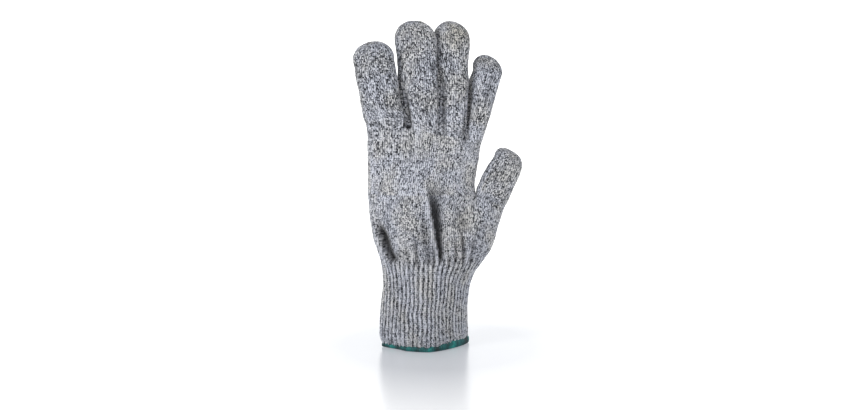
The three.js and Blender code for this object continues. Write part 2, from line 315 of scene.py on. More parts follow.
class Limb:
    """A finger or the thumb, measured from its own CAD nodes in a frame whose Z runs along it."""

    def __init__(self, name, columns, fork, sides=(None, None), axis=(1, 0, 0)):
        self.name = name
        self.fork = fork
        self.sides = sides  # the X of the forks to its left and right
        x_axis = np.array(axis, float)
        y_axis = np.array((0, 1, 0), float)
        self.turn = np.stack([x_axis, y_axis, np.cross(x_axis, y_axis)])
        self.columns = columns
        proximal = self.local(node_mesh(f"{name}_proximal")[0])
        points, triangles = node_mesh(f"{name}_proximal", f"{name}_tip")
        points = self.local(points)
        tip = self.local(node_mesh(f"{name}_tip")[0])
        self.lean, rise, tallness, self.square = TIPS[name]
        self.top = tip[:, 2].max() + rise
        first = (proximal[:, 2].min() + proximal[:, 2].max()) / 2
        low = tip[:, 2].min() + TIP_MARGIN
        left, right, _, _ = self.section_box(points, triangles, low)
        self.dome = self.top - tallness * (right - left) / 2
        heights = [first, *np.linspace(low, self.dome, 3)]
        boxes = [self.section_box(points, triangles, z) for z in heights]
        below = first - LIMB_BELOW
        slope = (np.array(boxes[1]) - boxes[0]) / (heights[1] - heights[0])
        self.heights = np.array([below, *heights])
        self.boxes = np.array([boxes[0] + slope * (below - first), *boxes])
        self.pivots = [
            self.local(np.array(j["pos_m"]) / MM)[2]
            for j in frame["joints"]
            if j["name"].startswith(name.split("_")[0])
        ]
        # the places of the net's lines as shares: evenly round the outline, and across its width
        self.even = (np.arange(columns + 1) + 1) / (columns + 2)
        left, right, _, _ = self.box(fork + ROOT)
        lines = [spread(half, self.even)[:, 0] for half in self.halves(fork + ROOT)]
        self.places = [(line - left) / (right - left) for line in lines]
        for places in self.places:
            if sides[0] is not None:
                places[1] -= FORK_PULL * (places[1] - places[0])
            if sides[1] is not None:
                places[-2] += FORK_PULL * (places[-1] - places[-2])

    def local(self, points):
        return points @ self.turn.T

    def row(self, points):
        return np.asarray(points) @ self.turn

    @staticmethod
    def section_box(points, triangles, z):
        """Left, right, front and back of the section at a height."""
        a = points[triangles].reshape(-1, 3)
        b = points[np.roll(triangles, -1, axis=1)].reshape(-1, 3)
        crossing = (a[:, 2] < z) != (b[:, 2] < z)
        a, b = a[crossing], b[crossing]
        cut = a + (b - a) * ((z - a[:, 2]) / (b[:, 2] - a[:, 2]))[:, None]
        return [cut[:, 0].min(), cut[:, 0].max(), cut[:, 1].min(), cut[:, 1].max()]

    def box(self, z):
        left, right, front, back = (np.interp(z, self.heights, self.boxes[:, k]) for k in range(4))
        start = smooth_step(z, self.fork, self.fork + BULGE_FROM)
        bulges = [
            size * start * (1 - smooth_step(z, until - BULGE_FADE, until))
            for size, until in BULGES[self.name]
        ]
        near = self.near_fork(z)
        if self.sides[0] is not None:
            left += near * (self.sides[0] - left)
        if self.sides[1] is not None:
            right += near * (self.sides[1] - right)
        up = max(0, (z - self.dome) / (self.top - self.dome))
        centre = (left + right + bulges[1] - bulges[0]) / 2 + self.lean * up
        half = (right - left + bulges[0] + bulges[1]) / 2 * self.dome_share(up)
        depth = (back - front) / 2 * self.dome_share(up)
        return [centre - half, centre + half, (front + back) / 2 - depth, (front + back) / 2 + depth]

    def near_fork(self, z):
        return 1 - smooth_step(z, self.fork, self.fork + ROOT)

    def dome_share(self, value):
        """The width of the dome at a height, or its height at a distance from its middle, as shares."""
        return (1 - np.abs(value) ** self.square) ** (1 / self.square)

    def halves(self, z, slope=0.0):
        """The front and the back of the limb's outline at a height, sloping down towards +X."""
        left, right, front, back = self.box(z)
        turn = np.linspace(math.pi, 0, OUTLINE_STEPS)
        x = (left + right) / 2 + (right - left) / 2 * signed_power(np.cos(turn), 2 / SECTION_SQUARE)
        rise = signed_power(np.sin(turn), 2 / SECTION_SQUARE)
        halves = []
        for depth in (front, back):
            y = (front + back) / 2 + (depth - (front + back) / 2) * rise
            if self.name != "thumb":
                shingled = SHINGLE * smooth_step(z, self.fork, self.fork + SHINGLE_FROM)
                y = y - shingled * np.cos(turn)
            halves.append(np.stack([x, y, z - slope * (x - (left + right) / 2)], axis=1))
        return halves

    def ring(self, z, slope=0.0):
        """The net's ring round the limb at a height. Near a fork its lines lead on from the palm's."""
        left, right, _, _ = self.box(z)
        lines = []
        halves = self.halves(z, slope)
        for half, places in zip(halves, self.places):
            rooted = np.interp(left + places * (right - left), half[:, 0], along_line(half))
            if self.sides[0] is not None:
                rooted[0] = FORK_MARGIN
            if self.sides[1] is not None:
                rooted[-1] = 1 - FORK_MARGIN
            lines.append(spread(half, self.even + self.near_fork(z) * (rooted - self.even)))
        return self.row(join_ring(lines[0], halves[0][-1], lines[1], halves[0][0]))

    def ridge(self, last):
        """Points over the top of the dome, above the last ring."""
        left, right, front, back = self.box(self.dome)
        ring_left, ring_right, _, _ = self.box(last)
        width = RIDGE_SHARE * (ring_right - ring_left) / (right - left)
        share = width * np.linspace(-1, 1, self.columns + 1)
        up = self.dome_share(share)
        z = self.dome + (self.top - self.dome) * up
        x = (left + right) / 2 + (right - left) / 2 * share + self.lean * up
        y = (front + back) / 2 - (0 if self.name == "thumb" else SHINGLE) * share
        return self.row(np.stack([x, y, z], axis=1))


def signed_power(value, exponent):
    return np.sign(value) * np.abs(value) ** exponent


def smooth_step(value, start, end):
    t = np.clip((value - start) / (end - start), 0, 1)
    return t * t * (3 - 2 * t)


def bell(value, middle, half_width, height):
    return height * np.exp(-(((value - middle) / half_width) ** 2))


# ---- building the net

joints = {j["name"]: j for j in frame["joints"]}
wrist_z = joints["wrist"]["pos_m"][2] / MM
thumb_axis = joints["thumb_base"]["axis"]
thumb_slope = -thumb_axis[2] / thumb_axis[0]

hand_tree = ray_tree(["cuff", "wrist_bend", "lower_palm", "upper_palm"])
palm_tree = ray_tree(["upper_palm"] + [f"{name}_base_bend" for name in FINGERS])

net = Net()


def hand_height(row):
    """The height of a row above the wrist, as a function of X. It slopes down towards the thumb."""
    share = max(0, row - CUFF_ROWS) / THUMB_ROWS
    if row <= CUFF_ROWS:
        level = CUFF_EDGE + (wrist_z - CUFF_EDGE) * row / CUFF_ROWS
    else:
        level = wrist_z + (THUMB_FORK[1] - wrist_z) * share

    def height(x):
        beyond = THUMB_BLEND * math.log1p(math.exp((x - THUMB_FORK[0]) / THUMB_BLEND))
        return level - thumb_slope * share * (beyond - THUMB_BLEND * math.log(2) * share)

    return height


def hand_rings():
    rings = []
    for row in range(CUFF_ROWS + THUMB_ROWS + 1):
        share = max(0, row - CUFF_ROWS) / THUMB_ROWS
        ring = hand_ring(
            hand_tree,
            lambda x, height=hand_height(row): max(height(x), LOWEST_CUT),
            HAND_COLUMNS,
            [{PALM_COLUMNS: THUMB_FORK[0]}] * 2,
            share,
            BESIDE_HAND,
        )
        ring = np.array(ring)
        ring[:, 2] = [hand_height(row)(x) for x in ring[:, 0]]
        rings.append(ring)
    return rings


def fork_corners(x, z, depth):
    """The front, middle and back points of the fork between two tubes."""
    return [(x, -depth, z), (x, 0, z + FORK_ARCH), (x, depth, z)]


def knuckle_height(x):
    """The height of the row of knuckles, which passes through the fingers' forks."""
    xs, zs = zip(*FINGER_FORKS)
    ends_x = [cad_low.x / MM, *xs, xs[-1] + INDEX_WIDTH]
    return np.interp(x, ends_x, [zs[0] + KNUCKLE_RISE, *zs, zs[-1] - KNUCKLE_RISE])


def palm_spans(height):
    """The X where each finger's part of the palm starts and ends along a line of heights."""
    left, right = (edge(palm_tree, height, 0.0, outside) for outside in BESIDE_PALM)
    return list(zip([left, *FORK_XS], [*FORK_XS, right]))


def finger_limbs():
    """The fingers from left to right, each with its fork at the mean height of its two sides."""
    limbs = []
    sides = zip([None, *FORK_XS], [*FORK_XS, None])
    for name, columns, side, span in zip(FINGERS, FINGER_COLUMNS, sides, palm_spans(knuckle_height)):
        fork = sum(knuckle_height(x) for x in span) / 2
        limbs.append(Limb(name, columns, fork, side))
    return limbs


def palm_anchors(limbs, height):
    """The X of each of the net's lines along a line of heights, on the front and on the back."""
    anchors = [{}, {}]
    for half in (0, 1):
        line = 0
        for limb, (start, end) in zip(limbs, palm_spans(height)):
            xs = start + limb.places[half] * (end - start)
            if limb.sides[0] is not None:
                xs[0] = start
            anchors[half].update(enumerate(xs, line))
            line += limb.columns
    return anchors


def palm_rings(first, limbs):
    """Rings from the row of the thumb's fork, which is already in the net, up to the fingers' forks."""
    rings = [first]
    for row in range(1, PALM_ROWS + 1):
        share = row / PALM_ROWS

        def height(x, share=share):
            return (1 - share) * THUMB_FORK[1] + share * knuckle_height(x)

        anchors = palm_anchors(limbs, height)
        ring = np.array(hand_ring(palm_tree, height, PALM_COLUMNS, anchors, share, BESIDE_PALM))
        if row == PALM_ROWS:
            for line, (x, z) in zip(np.cumsum(FINGER_COLUMNS), FINGER_FORKS):
                front, _, back = fork_corners(x, z, FORK_DEPTH)
                ring[line] = front
                ring[2 * PALM_COLUMNS + 2 - line] = back
        rings.append(net.add(ring))
    return rings


def row_heights(marks):
    """Heights that pass through every mark, about one row apart, and the row number of each mark."""
    heights, rows = [marks[0]], [0]
    for low, high in zip(marks, marks[1:]):
        count = max(1, round((high - low) / ROW_HEIGHT))
        heights.extend(np.linspace(low, high, count + 1)[1:])
        rows.append(len(heights) - 1)
    return heights, rows


def limb_tube(limb, first_ring, start, slope, names):
    """A finger or the thumb on a ring that is already in the net. names are its pieces."""
    parts = [(a + b) / 2 for a, b in zip(limb.pivots, limb.pivots[1:])]
    heights, marks = row_heights([start + FIRST_ROW * ROW_HEIGHT, *parts, limb.dome])
    heights.extend(limb.dome + (limb.top - limb.dome) * np.sin(DOME_TURNS))
    rings = [first_ring]
    for number, z in enumerate(heights):
        rings.append(net.add(limb.ring(z, slope * max(0, 1 - number / SLOPED_ROWS))))
    ends = [mark + 1 for mark in marks[1:]]
    net.tube(rings, lambda row: names[sum(row >= end for end in ends[:-1])])
    net.cap(rings[-1], net.add(limb.ridge(heights[-1])), names[-1])


# The cuff and the palm up to the thumb's fork.
hand = [net.add(ring) for ring in hand_rings()]
WRIST_ROWS = (CUFF_ROWS - 2, CUFF_ROWS + 2)


def hand_piece(row):
    if row < WRIST_ROWS[0]:
        return "cuff_knit"
    return "wrist_knit" if row < WRIST_ROWS[1] else "lower_palm_knit"


net.tube(hand, hand_piece)

# The four-finger part and the thumb share the fork's points.
fork_front, fork_middle, fork_back = fork_corners(*THUMB_FORK, THUMB_FORK_DEPTH)
front, right, back, left = split_ring(hand[-1], HAND_COLUMNS)
middle = net.add([fork_middle])[0]
net.points[front[PALM_COLUMNS]] = np.array(fork_front)
net.points[back[PALM_COLUMNS]] = np.array(fork_back)
palm_first = join_ring(front[: PALM_COLUMNS + 1], middle, back[: PALM_COLUMNS + 1], left)
thumb_first = join_ring(front[PALM_COLUMNS:], right, back[PALM_COLUMNS:], middle)

limbs = finger_limbs()
palm = palm_rings(palm_first, limbs)
net.tube(palm, lambda row: "lower_palm_knit" if row < 1 else "upper_palm_knit")

thumb_turn = np.cross(np.array(thumb_axis), (0, 1, 0))
fork_local = np.dot(thumb_turn, (THUMB_FORK[0], 0, THUMB_FORK[1]))
thumb = Limb("thumb", THUMB_COLUMNS, fork_local, axis=thumb_axis)
limb_tube(thumb, thumb_first, fork_local, 0, ["thumb_base_knit", "thumb_tip_knit"])

front, right, back, left = split_ring(palm[-1], PALM_COLUMNS)
line = 0
side = left
roots = {}  # the height of each finger's lowest row, where it is highest
for limb, fork in zip(limbs, [*FINGER_FORKS, None]):
    if fork:
        next_side = net.add([(fork[0], 0, fork[1] + FORK_ARCH)])[0]
    else:
        next_side = right
    span = slice(line, line + limb.columns + 1)
    first = join_ring(front[span], next_side, back[span], side)
    ends = [net.points[front[line]], net.points[front[line + limb.columns]]]
    slope = (ends[0][2] - ends[1][2]) / (ends[1][0] - ends[0][0])
    roots[limb.name] = max(net.points[point][2] for point in first)
    pieces = [f"{limb.name}_{part}_knit" for part in ("base", "middle", "tip")]
    limb_tube(limb, first, limb.fork, slope, pieces)
    line += limb.columns
    side = next_side


# ---- from the net to fine surfaces


class Surface:
    """A subdivision of the net: points and normals, quads, and each quad's corners in the weave."""

    def __init__(self, obj, level):
        obj.modifiers["smooth"].levels = level
        bpy.context.view_layer.update()
        mesh = bpy.data.meshes.new_from_object(obj.evaluated_get(bpy.context.evaluated_depsgraph_get()))
        self.points = read(mesh.vertices, "co", 3) / MM
        self.normals = read(mesh.vertex_normals, "vector", 3)
        self.quads = read(mesh.loops, "vertex_index", 4, np.int32)
        self.weave = read(mesh.uv_layers["weave"].data, "uv", 2).reshape(-1, 4, 2)
        self.piece = np.repeat(net.pieces, 4**level)
        self.tube = np.repeat(net.tube_of, 4**level)
        bpy.data.meshes.remove(mesh)


def linked(name, data):
    """A new object in the scene."""
    obj = bpy.data.objects.new(name, data)
    bpy.context.scene.collection.objects.link(obj)
    return obj


def add_layer(mesh, name, places):
    """A UV layer with a place for each corner of each face."""
    layer = mesh.uv_layers.new(name=name)
    layer.data.foreach_set("uv", np.asarray(places, np.float32).ravel())


def add_values(mesh, name, values):
    """A number for each vertex, which the material reads."""
    mesh.attributes.new(name, "FLOAT", "POINT").data.foreach_set("value", np.asarray(values, np.float32))


def read(items, name, width, kind=np.float32):
    size = len(items) * (1 if kind is np.int32 else width)
    values = np.empty(size, kind)
    items.foreach_get(name, values)
    return values.reshape(-1, width)


def fitted_net():
    """The net as an object, moved out until its subdivided surface passes through the measured points."""
    wanted = np.array(net.points)
    mesh = bpy.data.meshes.new("net")
    mesh.from_pydata((wanted * MM).tolist(), [], net.quads)
    add_layer(mesh, "weave", net.weave)
    obj = linked("net", mesh)
    smooth = obj.modifiers.new("smooth", "SUBSURF")
    smooth.uv_smooth = "NONE"
    points = wanted.copy()
    for _ in range(FIT_ROUNDS):
        points += FIT_STEP * (wanted - Surface(obj, 1).points[: len(wanted)])
        mesh.vertices.foreach_set("co", (points * MM).ravel())
        mesh.update()
    return obj


net_object = fitted_net()
stitches = Surface(net_object, STITCH_LEVEL)
lining = Surface(net_object, LINING_LEVEL)
bpy.data.objects.remove(net_object)

# ---- folds and stitches

# The folds on the palm's side: (points (X, Z) of the path, widths, depth, ridge). The widths are of the
# steep side, and of the gentle side at the path's upper and lower end. The ridge is how far the fabric
# beside the fold stands out on the little finger's side.
FOLDS = [
    (
        [(-8.6, 130), (-6.2, 115), (-4.6, 103), (-2.7, 93), (-1.6, 84), (0.6, 75), (1.7, 67), (1.8, 62)],
        (0.9, 12.0, 0.8),
        8,
        1.5,
    ),
    ([(-12, 104), (-9, 86), (-6, 70), (-5, 62)], (3.6, 3.4, 2.0), 3, 0),
    (
        [(-48, 98), (-45.5, 91), (-42.6, 83.5), (-40.4, 77), (-37.6, 70), (-35, 63)],
        (1.0, 4.0, 7.0),
        7,
        1.2,
    ),
    ([(-24, 80), (-21.5, 62)], (0.9, 1.5, 1.1), 1.6, 0.2),
    ([(-18, 88), (-16.2, 76), (-15.6, 62)], (0.9, 1.8, 1.2), 2.8, 0.3),
    ([(-5, 84), (-2.9, 73), (-2.2, 62)], (0.9, 1.3, 1.0), 3, 0),
    ([(7, 86), (8.3, 62)], (0.9, 1.3, 1.0), 1.4, 0.2),
    ([(12.5, 86), (13.6, 62)], (0.9, 1.5, 1.0), 2, 0.2),
    ([(16, 92), (18.3, 76), (18.9, 62)], (0.9, 2.4, 1.3), 3.6, 0.4),
    ([(27.5, 87), (25.2, 74), (24, 62)], (1.0, 2.2, 1.4), 2.8, 0.3),
    ([(12, 114), (21, 86)], (4, 6, 3), 2.4, 0),
    ([(29, 113), (47, 106)], (1.8, 3.6, 2.6), 1.6, 0.3),
    ([(31, 104), (46, 97)], (1.6, 2.6, 1.6), 1.2, 0),
    ([(40.5, 206), (34.5, 181)], (2.2, 3.2, 2.2), 2.2, 0.5),
    ([(-26.4, 196), (-24.5, 180), (-21.5, 160)], (1.2, 3.2, 2.4), 3.6, 0),
    ([(1.0, 215), (2.0, 185), (2.6, 153)], (1.5, 3.4, 3.0), 2.6, 0),
    ([(22.6, 200), (21, 175), (19, 148)], (1.2, 2.2, 1.6), 2.4, 0),
]
FOLD_FULL = 0.45  # share of the path where a fold is fully deep
FOLD_FADES = 0.88  # and where it starts to run out
CREST_AWAY = 2.6  # distance of the ridge from the fold, and its half width, in steep widths
CREST_WIDTH = 1.6
FOLD_SHADE_DEPTH = 6.5  # painted shade: a fold so deep gets the darkest painted shade
FRONT = (0.05, 0.5)  # how much a normal must turn to the front for the folds to show, and to show fully
BROADSIDE = (0.3, 0.9)  # the same for the pinch and puff, on the front and the back
GATHER = 0.9  # depth of the small pleats where the palm is gathered into the cuff
GATHER_WALES = 4.75  # stitches from one pleat to the next
GATHER_UNEVEN = 0.4  # how much their depths differ
GATHER_RANGE = (64, 68, 84)  # heights where the pleats start, are deepest and end
PINCH = (67.5, 1.6, 0.9)  # height, half width and depth of the line where the cuff grips
PUFF = (74, 5, 1.0)  # height, half width and size of the palm's swelling above it
WRINKLES = [(17, 0.55), (6.5, 0.22)]  # (size, depth) of the fabric's unevenness

ROLL = 3.2  # how far the cuff's lower corner turns under at the little finger's side
ROLL_FROM = (22, 33)  # how far out it starts and is full
ROLL_HEIGHT = 10

STITCH_RELIEF = 0.34
WALE_ROUND = 0.8  # the power that rounds a wale or a rib
LEG_GROOVE = 0.3  # depth of the groove between a stitch's two legs
LEG_LEAN = 0.9  # how far a leg leans, in courses
STITCH_UNEVEN = 0.5  # how much higher some stitches stand than others
RIB_RELIEF = 1.15
RIB_WALES = 3  # stitches across one rib of the cuff
RIB_END = (65.5, 69)
RIB_SWAY = 0.9  # how far the ribs wander, in stitches
RIB_SWAY_SIZE = 11
RIB_START = (6, 20)  # the ribs are stretched flatter at the hem
RIB_AT_HEM = 0.55  # and keep this share of their depth there
DARKER_FINGERS_RANGE = (150, 185)  # heights where the fingers start to be darker, and are fully
THUMB_FROM = (92, 108)  # the same for the thumb, in X plus half of Z
THUMB_UNTIL = (150, 155)  # heights where the thumb's part ends
FINGERS_DARKER = 0.1  # how many fewer pale strands show on the fingers and on the thumb
THUMB_DARKER = 0.07
CREST_HIGHLIGHT = 0.1  # painted highlight: how many more pale strands show on a fold's crest, for each millimetre it stands out
RIB_HIGHLIGHT = 0.42  # painted highlight and shade: how many more pale strands on a rib than in its groove, and how many fewer in the groove
RIB_GROOVE_SHADE = 0.25
STAINS = [  # (middle, size, strength)
    ((14, -8, 228), 13, 0.75),
    ((54, -6, 133), 11, 0.6),
    ((10, -14, 88), 16, 0.35),
]
PROUD = 0.12  # how far the crests of the stitches stand outside the CAD's surface


def fold_shape(points, path, widths, depth, ridge):
    """How far a fold moves each point inwards, and its crest outwards. Its ends run out softly."""
    spot = points[:, [0, 2]]
    lengths = np.linalg.norm(np.diff(np.array(path, float), axis=0), axis=1)
    nearest = np.full(len(spot), np.inf)
    offset = np.zeros(len(spot))
    along = np.zeros(len(spot))
    for number, length in enumerate(lengths):
        start = np.array(path[number], float)
        direction = (np.array(path[number + 1]) - start) / length
        run = np.clip((spot - start) @ direction, 0, length)
        away = spot - start - run[:, None] * direction
        distance = np.linalg.norm(away, axis=1)
        closer = distance < nearest
        nearest[closer] = distance[closer]
        side = np.sign(direction[0] * away[:, 1] - direction[1] * away[:, 0])
        offset[closer] = (distance * side)[closer]
        along[closer] = (lengths[:number].sum() + run[closer]) / lengths.sum()
    steep, upper, lower = widths
    taper = smooth_step(along, 0, FOLD_FULL) * (1 - smooth_step(along, FOLD_FADES, 1))
    gentle = upper + (lower - upper) * along
    width = np.where(offset > 0, gentle, steep)
    groove = depth * np.exp(-((nearest / width) ** 2))
    crest = bell(offset, -CREST_AWAY * steep, CREST_WIDTH * steep, ridge)
    return groove * taper, crest * taper


def rolled(x, z):
    """How far inwards the cuff's lower corner is, at a place."""
    return ROLL * smooth_step(-x, *ROLL_FROM) * (1 - smooth_step(z, 0, ROLL_HEIGHT))


def random_of(*cells):
    """A fixed random number from 0 to 1 for each cell."""
    mixed = sum(cell * factor for cell, factor in zip(cells, (12.9898, 78.233, 37.719)))
    return np.modf(np.abs(np.sin(mixed) * 43758.5453))[0]


def unevenness(points, size):
    """A smooth random number for each point, with lumps about so large."""
    return np.array([noise.noise(Vector(p)) for p in (points / size).tolist()])


def sculpted(surface, weave):
    """The points moved by folds, gathers and wrinkles, and how deep and high the folds make them."""
    points, normals = surface.points, surface.normals
    inward = np.zeros(len(points))
    folded = np.zeros(len(points))
    raised = np.zeros(len(points))
    front = smooth_step(-normals[:, 1], *FRONT)
    for fold in FOLDS:
        groove, crest = fold_shape(points, *fold)
        folded += front * groove
        raised += front * crest
        inward += front * (groove - crest)
    z = points[:, 2]
    low, most, high = GATHER_RANGE
    pleated = smooth_step(z, low, most) * (1 - smooth_step(z, most, high))
    turn = 2 * math.pi * weave[:, 0] / GATHER_WALES
    uneven = 1 - GATHER_UNEVEN + GATHER_UNEVEN * np.sin(turn * 0.37 + 1)
    inward += GATHER * pleated * uneven * (0.5 - 0.5 * np.cos(turn))
    inward += (bell(z, *PINCH) - bell(z, *PUFF)) * smooth_step(np.abs(normals[:, 1]), *BROADSIDE)
    inward += rolled(points[:, 0], z)
    for size, depth in WRINKLES:
        inward += depth * unevenness(points, size)
    return points - normals * inward[:, None], folded, raised


def knit_relief(wale, course):
    """Height from 0 to 1 over a plain knit: two legs to a stitch, leaning together downwards."""
    across = np.mod(wale, 1)
    round_wale = np.abs(np.sin(math.pi * across)) ** WALE_ROUND
    between_legs = np.abs(np.sin(math.pi * across)) ** 12
    loops = 0.5 + 0.5 * np.cos(2 * math.pi * (course - LEG_LEAN * np.abs(across - 0.5)))
    uneven = 0.75 + STITCH_UNEVEN * random_of(np.floor(wale * 2), np.floor(course))
    return np.clip((round_wale - LEG_GROOVE * between_legs) * (0.5 + 0.5 * loops) * uneven * 1.25, 0, 1.2)


def rib_relief(points, wale):
    sway = unevenness(points, RIB_SWAY_SIZE)
    return np.abs(np.cos(math.pi * (wale + RIB_SWAY * sway) / RIB_WALES)) ** WALE_ROUND


def vertex_weave(surface):
    weave = np.zeros((len(surface.points), 2))
    weave[surface.quads.ravel()] = surface.weave.reshape(-1, 2)
    return weave


weave = vertex_weave(stitches)
smooth_points, folded, raised = sculpted(stitches, weave)
knit = knit_relief(weave[:, 0], weave[:, 1])
z = stitches.points[:, 2]
stretched = RIB_AT_HEM + (1 - RIB_AT_HEM) * smooth_step(z, *RIB_START)
ribbed = (1 - smooth_step(z, *RIB_END)) * stretched
rib_height = rib_relief(stitches.points, weave[:, 0])
rib = ribbed * (rib_height - 1)
relief = (knit - 1) * STITCH_RELIEF + rib * RIB_RELIEF
fine_points = smooth_points + stitches.normals * (relief + PROUD)[:, None]
on_thumb = smooth_step(stitches.points[:, 0] + z / 2, *THUMB_FROM) * (1 - smooth_step(z, *THUMB_UNTIL))
darker_fingers = FINGERS_DARKER * smooth_step(z, *DARKER_FINGERS_RANGE) + THUMB_DARKER * on_thumb
vertex_values = {
    # painted shade in the grooves between stitches and between ribs
    "cavity": np.clip(0.1 + 0.9 * knit + 0.5 * rib, 0, 1),
    # painted shade in the folds: the deeper a fold, the darker its colour
    "crease": np.clip(folded / FOLD_SHADE_DEPTH, 0, 1),
    # painted highlight: more of the pale strands show on the crests of folds and ribs; painted shade: fewer
    # in the rib grooves; fewer also on the fingers and the thumb
    "pale": CREST_HIGHLIGHT * raised + ribbed * (RIB_HIGHLIGHT * rib_height - RIB_GROOVE_SHADE) - darker_fingers,
    "stain": sum(
        bell(np.linalg.norm(stitches.points - spot, axis=1), 0, size, strength)
        for spot, size, strength in STAINS
    ),
}

# the lining's points are among the stitches' points, so the same fabric lies under both
tree = KDTree(len(stitches.points))
for number, point in enumerate(stitches.points.tolist()):
    tree.insert(point, number)
tree.balance()
under = np.array([tree.find(point)[1] for point in lining.points.tolist()])
lining_points = smooth_points[under] - stitches.normals[under] * FABRIC

# ---- pieces of fabric

OUTSIDE_SHARE = 0.8  # of the baking layout's height, with the lining above it
# painted shade on the lining, inside the glove
INSIDE_SHADE = 0.5
LAYOUT_MARGIN = 0.01


def directed_edges(quads):
    return np.stack([quads, np.roll(quads, -1, axis=1)], axis=2).reshape(-1, 2)


def open_edges(quads):
    """The directed edges that only one of the quads has."""
    edges = directed_edges(quads)
    size = quads.max() + 1
    forward = edges[:, 0].astype(np.int64) * size + edges[:, 1]
    backward = edges[:, 1].astype(np.int64) * size + edges[:, 0]
    return edges[~np.isin(forward, backward)]


def layout(weave, tubes, low, high):
    """Places for baking: each tube's part is one shelf as wide as the layout, and none overlap."""
    places = np.empty_like(weave)
    found = np.unique(tubes)
    rows = [np.ptp(weave[tubes == tube][..., 1]) for tube in found]
    shelf = low
    for tube, count in zip(found, rows):
        own = weave[tubes == tube]
        share = (own - own.min((0, 1))) / np.ptp(own, (0, 1))
        height = (high - low) * count / sum(rows)
        places[tubes == tube, :, 0] = LAYOUT_MARGIN + share[..., 0] * (1 - 2 * LAYOUT_MARGIN)
        places[tubes == tube, :, 1] = shelf + LAYOUT_MARGIN / 2 + share[..., 1] * (height - LAYOUT_MARGIN)
        shelf += height
    return places


def fabric_piece(name):
    """One closed piece of fabric: its stitches, its lining and the rims that join them."""
    outside = stitches.piece == name
    inside = lining.piece == name
    quads = stitches.quads[outside]
    backs = lining.quads[inside]
    used = np.unique(quads)
    used_inside = np.unique(backs)
    number = np.full(len(stitches.points), -1)
    number[used] = np.arange(len(used))
    inner = np.full(len(lining.points), -1)
    inner[used_inside] = len(used) + np.arange(len(used_inside))

    after = dict(open_edges(quads).tolist())
    rims = []
    for start, end in open_edges(backs).tolist():
        path = [under[start]]
        while path[-1] != under[end]:
            path.append(after[path[-1]])
        rims.append([*number[path[::-1]], inner[start], inner[end]])

    faces = number[quads].tolist() + inner[backs][:, ::-1].tolist() + rims
    points = np.concatenate([fine_points[used], lining_points[used_inside]])
    mesh = bpy.data.meshes.new(name)
    mesh.from_pydata((points * MM).tolist(), [], faces)

    own = stitches.weave[outside]
    own_inside = lining.weave[inside][:, ::-1]
    rim_corners = sum(len(rim) for rim in rims)
    baked = layout(own, stitches.tube[outside], 0, OUTSIDE_SHARE)
    baked_inside = layout(own_inside, lining.tube[inside], OUTSIDE_SHARE, 1 - LAYOUT_MARGIN)
    for layer, parts, rest in (
        ("weave", (own, own_inside), own[0, 0]),
        ("OFBake", (baked, baked_inside), (1 - LAYOUT_MARGIN / 4, 1 - LAYOUT_MARGIN / 4)),
    ):
        corners = [*(part.reshape(-1, 2) for part in parts), np.tile(rest, (rim_corners, 1))]
        add_layer(mesh, layer, np.concatenate(corners))
    mesh.uv_layers["weave"].active_render = True

    smooth = np.ones(len(faces), bool)
    smooth[len(faces) - len(rims) :] = False
    mesh.polygons.foreach_set("use_smooth", smooth)
    for attribute, outer in vertex_values.items():
        inside_value = INSIDE_SHADE if attribute == "cavity" else 0.0
        add_values(mesh, attribute, np.append(outer[used], np.full(len(used_inside), inside_value)))
    mesh.validate()
    return linked(name, mesh)


fabric = {name: fabric_piece(name) for name in dict.fromkeys(net.pieces)}


# ---- the hem

HEM_WRAPS = 104
HEM_STEPS_PER_WRAP = 8
HEM_SIDES = 18
HEM_DEPTH = 1.4  # half the thickness of the band of overlock threads
HEM_LOW = (3.3, 5.8)  # height of the band at the little finger's side, and at the thumb's side
HEM_RISE = (-14, 16)  # where along X it grows from one to the other
HEM_RAGGED = 1.5  # how much higher some of its threads reach than others
HEM_SMOOTHED = 9  # points over which the CAD's facets are smoothed away
HEM_LOOSE = 0.25  # how much looser some threads lie, as a share of their thickness
HEM_SQUARE = 0.75  # the power that makes the band's section squarer than an ellipse
HEM_INSET = 0.9  # share of its depth by which the band's middle lies inside the CAD's edge
HEM_LIFT = 0.05  # how far the lowest threads stay above the floor
HEM_ROUND = 0.6  # the power that rounds a thread
RAGGED_SEED = 7  # gives the ragged edge other random numbers than the looseness
HEM_THREAD = 0.34
HEM_SLANT = 0.9  # how far round a thread leans from the inside to the outside, in wraps


def closed_path(line, count):
    """Evenly spaced points round a closed line, and the directions out of it."""
    closed = np.concatenate([line, line[:1]])
    points = spread(closed, np.arange(count) / count)
    kernel = np.hanning(HEM_SMOOTHED + 2)[1:-1]
    kernel /= kernel.sum()
    padded = np.concatenate([points[-HEM_SMOOTHED:], points, points[:HEM_SMOOTHED]])
    smoothed = np.stack([np.convolve(padded[:, k], kernel, "same") for k in range(3)], axis=1)
    points = smoothed[HEM_SMOOTHED:-HEM_SMOOTHED]
    ahead = np.roll(points, -1, axis=0) - np.roll(points, 1, axis=0)
    out = np.stack([ahead[:, 1], -ahead[:, 0], np.zeros(count)], axis=1)
    return points, out / np.linalg.norm(out, axis=1)[:, None]


